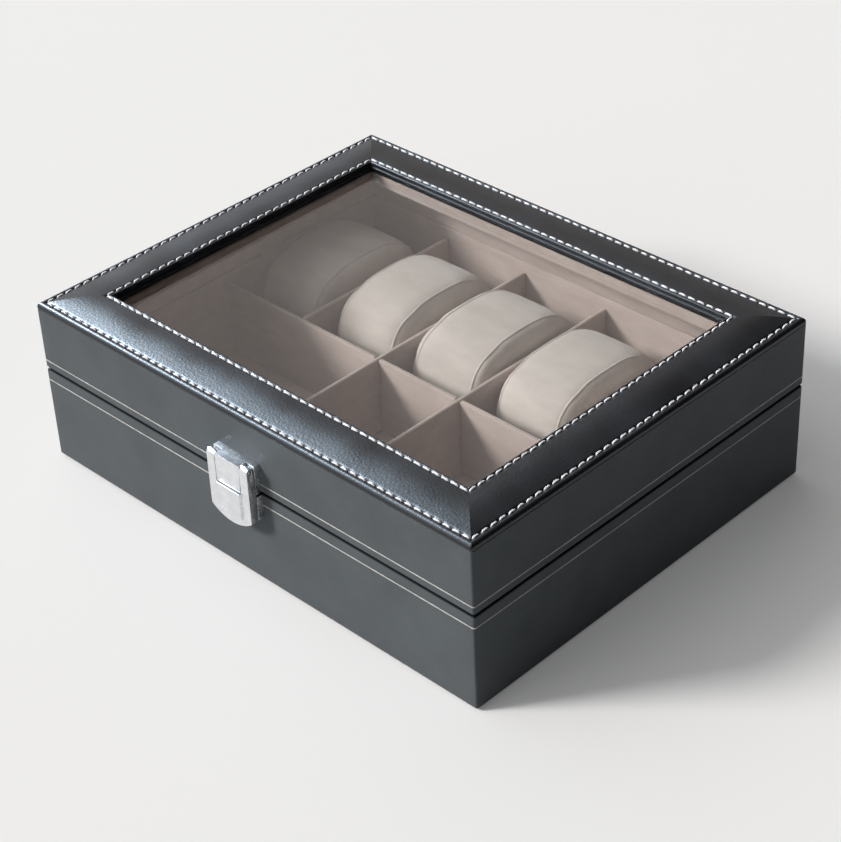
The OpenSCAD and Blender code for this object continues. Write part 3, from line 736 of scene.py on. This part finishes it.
def cross_recess(name, screws):
    """A cutter with two crossed blades for the head of each screw."""
    length, height, width = RECESS
    work = bmesh.new()
    for low, high in screws:
        radius = (high.x - low.x) / 2
        for turn in (0, math.pi / 2):
            size = Matrix.Diagonal((length * radius, height, width * radius, 1))
            place = Matrix.Translation(((low.x + high.x) / 2, high.y, (low.z + high.z) / 2))
            blade = place @ Matrix.Rotation(turn, 4, "Y") @ size
            bmesh.ops.create_cube(work, size=1, matrix=blade)
    mesh = bpy.data.meshes.new(name)
    work.to_mesh(mesh)
    work.free()
    cutter = bpy.data.objects.new(name, mesh)
    scene.collection.objects.link(cutter)
    return cutter


def make_screws(name, node, body):
    """Countersunk screws with a cross recess."""
    piece = softened(name, node, body, STEEL, "steel", SCREW_R)
    cutter = cross_recess(name + "_cutter", islands(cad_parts[node].data))
    cut = piece.modifiers.new("recess", "BOOLEAN")
    cut.operation = "DIFFERENCE"
    cut.solver = "EXACT"
    cut.use_self = True
    cut.object = cutter
    baked = final_mesh(piece)
    piece.modifiers.clear()
    piece.data = baked
    bpy.data.objects.remove(cutter)


def make_metal():
    for piece in METAL_PIECES:
        softened(*piece)
    make_screws("hinge_base_fixings", "hinge_base_screws", "base")
    make_screws("hinge_lid_fixings", "hinge_lid_screws", "lid")


# ---- Pillows ----

def inflated(name, node):
    """A node's form as a cushion: remeshed, rounded and blown up as cloth."""
    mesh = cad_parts[node].data.copy()
    work = bpy.data.objects.new(name, mesh)
    scene.collection.objects.link(work)
    remesh = work.modifiers.new("remesh", "REMESH")
    remesh.mode = "VOXEL"
    remesh.voxel_size = VOXEL
    rounded = work.modifiers.new("rounded", "SMOOTH")
    rounded.factor, rounded.iterations = ROUNDING
    start = final_mesh(work)
    work.modifiers.clear()
    work.data = start.copy()
    cloth = work.modifiers.new("cloth", "CLOTH")
    cloth.settings.use_pressure = True
    cloth.settings.uniform_pressure_force = PRESSURE
    cloth.settings.effector_weights.gravity = 0
    cloth.settings.quality = SIM_QUALITY
    cloth.point_cache.frame_start = 1
    cloth.point_cache.frame_end = SIM_FRAMES
    for step in range(1, SIM_FRAMES + 1):
        scene.frame_set(step)
    blown = final_mesh(work)
    scene.frame_set(1)
    for before, after in zip(start.vertices, blown.vertices):
        move = after.co - before.co
        if move.length > MOVE_CAP:
            after.co = before.co + move.normalized() * MOVE_CAP
    bpy.data.objects.remove(work)
    return blown


def fit_to_box(mesh, low, high):
    """Scales a mesh along each axis so that it fills a box."""
    was_low = [min(v.co[a] for v in mesh.vertices) for a in range(3)]
    was_high = [max(v.co[a] for v in mesh.vertices) for a in range(3)]
    for vertex in mesh.vertices:
        for a in range(3):
            share = (vertex.co[a] - was_low[a]) / (was_high[a] - was_low[a])
            vertex.co[a] = low[a] + share * (high[a] - low[a])


def make_pillow(index):
    """A velvet pillow with its piping and the foam inside it."""
    body = f"pillow_{index}"
    cover_node = f"pillow_cover_{index}"
    core_node = f"pillow_core_{index}"
    low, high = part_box(cover_node)
    clear = Vector((PILLOW_CLEAR,) * 3)
    mesh = inflated(f"pillow_{index}_cloth", core_node)
    fit_to_box(mesh, low + clear, high - clear)
    pillow = add_piece(f"velvet_pillow_{index}", mesh, body, PILLOW_VELVET, "velvet", cover_node)
    smooth = pillow.modifiers.new("smooth", "SUBSURF")
    smooth.levels = 1
    smooth.render_levels = 1
    make_piping(index, pillow, low, high)
    foam = softened(f"pillow_foam_{index}", core_node, body, FOAM, "foam", PILLOW_FOAM_R, 3)
    middle = (low + high) / 2
    for vertex in foam.data.vertices:
        vertex.co = middle + (vertex.co - middle) * PILLOW_FOAM


def make_piping(index, pillow, low, high):
    """A thin rounded seam near each end of a pillow, laid on its surface."""
    tree = BVHTree.FromObject(pillow, bpy.context.evaluated_depsgraph_get())
    middle = (low + high) / 2
    faces = []
    vertices = []
    for x in (low.x + PIPING_SET, high.x - PIPING_SET):
        start = len(vertices)
        for k in range(PIPING_STEPS):
            angle = 2 * math.pi * k / PIPING_STEPS
            out = Vector((0, math.cos(angle), math.sin(angle)))
            origin = Vector((x, middle.y, middle.z)) + out * (high.y - low.y)
            hit = tree.ray_cast(origin, -out)[0]
            for s in range(PIPING_SIDES):
                a = 2 * math.pi * s / PIPING_SIDES
                along = Vector((PIPING_R * math.sin(a), 0, 0))
                vertices.append(hit + out * (PIPING_R * (math.cos(a) - PIPING_SINK)) + along)
        for k in range(PIPING_STEPS):
            a = start + PIPING_SIDES * k
            b = start + PIPING_SIDES * ((k + 1) % PIPING_STEPS)
            for s in range(PIPING_SIDES):
                n = (s + 1) % PIPING_SIDES
                faces.append((a + s, a + n, b + n, b + s))
    mesh = bpy.data.meshes.new("piping")
    mesh.from_pydata(vertices, [], faces)
    tidy_mesh(mesh)
    add_piece(f"pillow_piping_{index}", mesh, f"pillow_{index}", PILLOW_VELVET, "velvet")


# ---- Studio ----

CAMERA_AT = (0.5747, -0.5567, 0.5813)
CAMERA_AZIMUTH = 45.893     # degrees, like elevation and roll
CAMERA_ELEVATION = 34.890
CAMERA_ROLL = -2.889
FOCAL_PIXELS = 2206.5       # focal length in a picture of IMAGE_H pixels
IMAGE_H = 842
SENSOR_MM = 36.0
BRIGHT_SIDE = (-0.55, -0.70, 0.46)  # towards the brightest part of the world
DIM_FROM = -0.1             # cosine to the bright side where the world is dimmest
WORLD_STRENGTH = (0.005, 0.62)      # at the dimmest and at the bright side
WINDOW_SIDE = (-0.77, 0.54, 0.33)   # towards the glow of a window
WINDOW_EDGE = 0.72          # cosine to the window's side where its glow starts
WINDOW_WARM = 0.92          # where its colour is fully warm
WINDOW_GLOW = 0.55
WORLD_COLOURS = ((0.97, 0.985, 1.0), (1.0, 0.90, 0.86))     # cool, warm
FLOOR_SIZE = 16.0
FLOOR_DROP = 0.1 * MM       # floor below the box
FLOOR_COLOURS = ((0.79, 0.79, 0.79), (0.81, 0.81, 0.81))
FLOOR_GLOW = 0.10           # shown to camera, glossy and transmission rays alone
FLOOR_BOUNCE = 0.60         # colour of the floor for the light that it throws on the object


def make_camera():
    data = bpy.data.cameras.new("camera")
    data.sensor_width = SENSOR_MM
    data.lens = FOCAL_PIXELS / IMAGE_H * SENSOR_MM
    data.clip_start = 0.01
    data.clip_end = 50
    angles = (CAMERA_AZIMUTH, CAMERA_ELEVATION, CAMERA_ROLL)
    azimuth, elevation, roll = (math.radians(angle) for angle in angles)
    back = Vector((math.sin(azimuth) * math.cos(elevation),
                   -math.cos(azimuth) * math.cos(elevation), math.sin(elevation)))
    right = (-back).cross(Vector((0, 0, 1))).normalized()
    up = right.cross(-back)
    x_axis = math.cos(roll) * right + math.sin(roll) * up
    y_axis = -math.sin(roll) * right + math.cos(roll) * up
    camera = bpy.data.objects.new("camera", data)
    scene.collection.objects.link(camera)
    turned = Matrix((x_axis, y_axis, back)).transposed().to_4x4()
    camera.matrix_world = Matrix.Translation(CAMERA_AT) @ turned
    scene.camera = camera


def make_sun(name, towards, strength, width, colour):
    """A soft lamp in the direction of towards, width degrees across."""
    data = bpy.data.lights.new(name, "SUN")
    data.energy = strength
    data.angle = math.radians(width)
    data.color = colour
    lamp = bpy.data.objects.new(name, data)
    scene.collection.objects.link(lamp)
    lamp.rotation_euler = Vector(towards).to_track_quat("Z", "Y").to_euler()
    lamp.visible_transmission = False
    return lamp


def make_floor():
    size = FLOOR_SIZE / 2
    mesh = bpy.data.meshes.new("floor")
    corners = [(-size, -size), (size, -size), (size, size), (-size, size)]
    mesh.from_pydata([(x, y, -FLOOR_DROP) for x, y in corners], [], [(0, 1, 2, 3)])
    floor = bpy.data.objects.new("floor", mesh)
    scene.collection.objects.link(floor)
    values = {"Roughness": 0.9, "Specular_IOR_Level": 0.1, "Emission_Color": (1, 1, 1, 1)}
    material, tree, shader = new_material("floor", **values)
    haze = noise_value(tree, millimetres(tree), 300, 2.0)
    colour = mix_colours(tree, haze, *FLOOR_COLOURS)
    path = add_node(tree, "ShaderNodeLightPath").outputs
    colour = mix_colours(tree, path["Is Diffuse Ray"], colour, (FLOOR_BOUNCE,) * 3)
    feed(shader, "Base Color", colour)
    seen = add_values(tree, path["Is Camera Ray"], path["Is Glossy Ray"])
    seen = add_values(tree, seen, path["Is Transmission Ray"])
    feed(shader, "Emission Strength", spread(tree, seen, 0, FLOOR_GLOW))
    mesh.materials.append(material)


def facing(tree, direction, side):
    """Cosine of the angle between a direction and a side."""
    values = {0: direction, 1: side}
    made = add_node(tree, "ShaderNodeVectorMath", values, operation="DOT_PRODUCT")
    return made.outputs["Value"]


def make_world():
    world = bpy.data.worlds.new("studio")
    world.use_nodes = True
    tree = world.node_tree
    background = tree.nodes["Background"]
    direction = add_node(tree, "ShaderNodeTexCoord").outputs["Generated"]
    side = facing(tree, direction, BRIGHT_SIDE)
    window = facing(tree, direction, WINDOW_SIDE)
    strength = spread(tree, side, *WORLD_STRENGTH, DIM_FROM, 1)
    glow = spread(tree, window, 0, WINDOW_GLOW, WINDOW_EDGE, 1)
    feed(background, "Color", two_tone(tree, window, (WINDOW_EDGE, WINDOW_WARM), *WORLD_COLOURS))
    feed(background, "Strength", add_values(tree, strength, glow))
    scene.world = world


def make_studio():
    make_camera()
    make_floor()
    make_world()
    warm = (1.0, 0.98, 0.96)
    key = make_sun("key", (-0.60, -0.69, 0.55), strength=3.15, width=15, colour=warm)
    key.visible_glossy = False
    front = make_sun("front_window", (-0.60, -0.66, 0.60), strength=0.75, width=50,
                     colour=(0.84, 0.92, 1.0))
    front.visible_diffuse = False
    make_sun("ceiling", (-0.45, -0.50, 0.74), strength=0.45, width=50, colour=warm)
    window = make_sun("window", (-0.80, 0.02, 0.58), strength=9.8, width=16,
                      colour=(0.72, 0.86, 1.0))
    window.visible_diffuse = False
    scene.view_settings.view_transform = "Standard"


make_studio()
make_walls()
make_cover()
make_seam("lid_outer_stitches", SEAMS[0], "lid_outer_seam")
make_seam("lid_inner_stitches", SEAMS[1], "lid_inner_seam")
make_insides()
make_metal()
for number in PILLOWS:
    make_pillow(number)
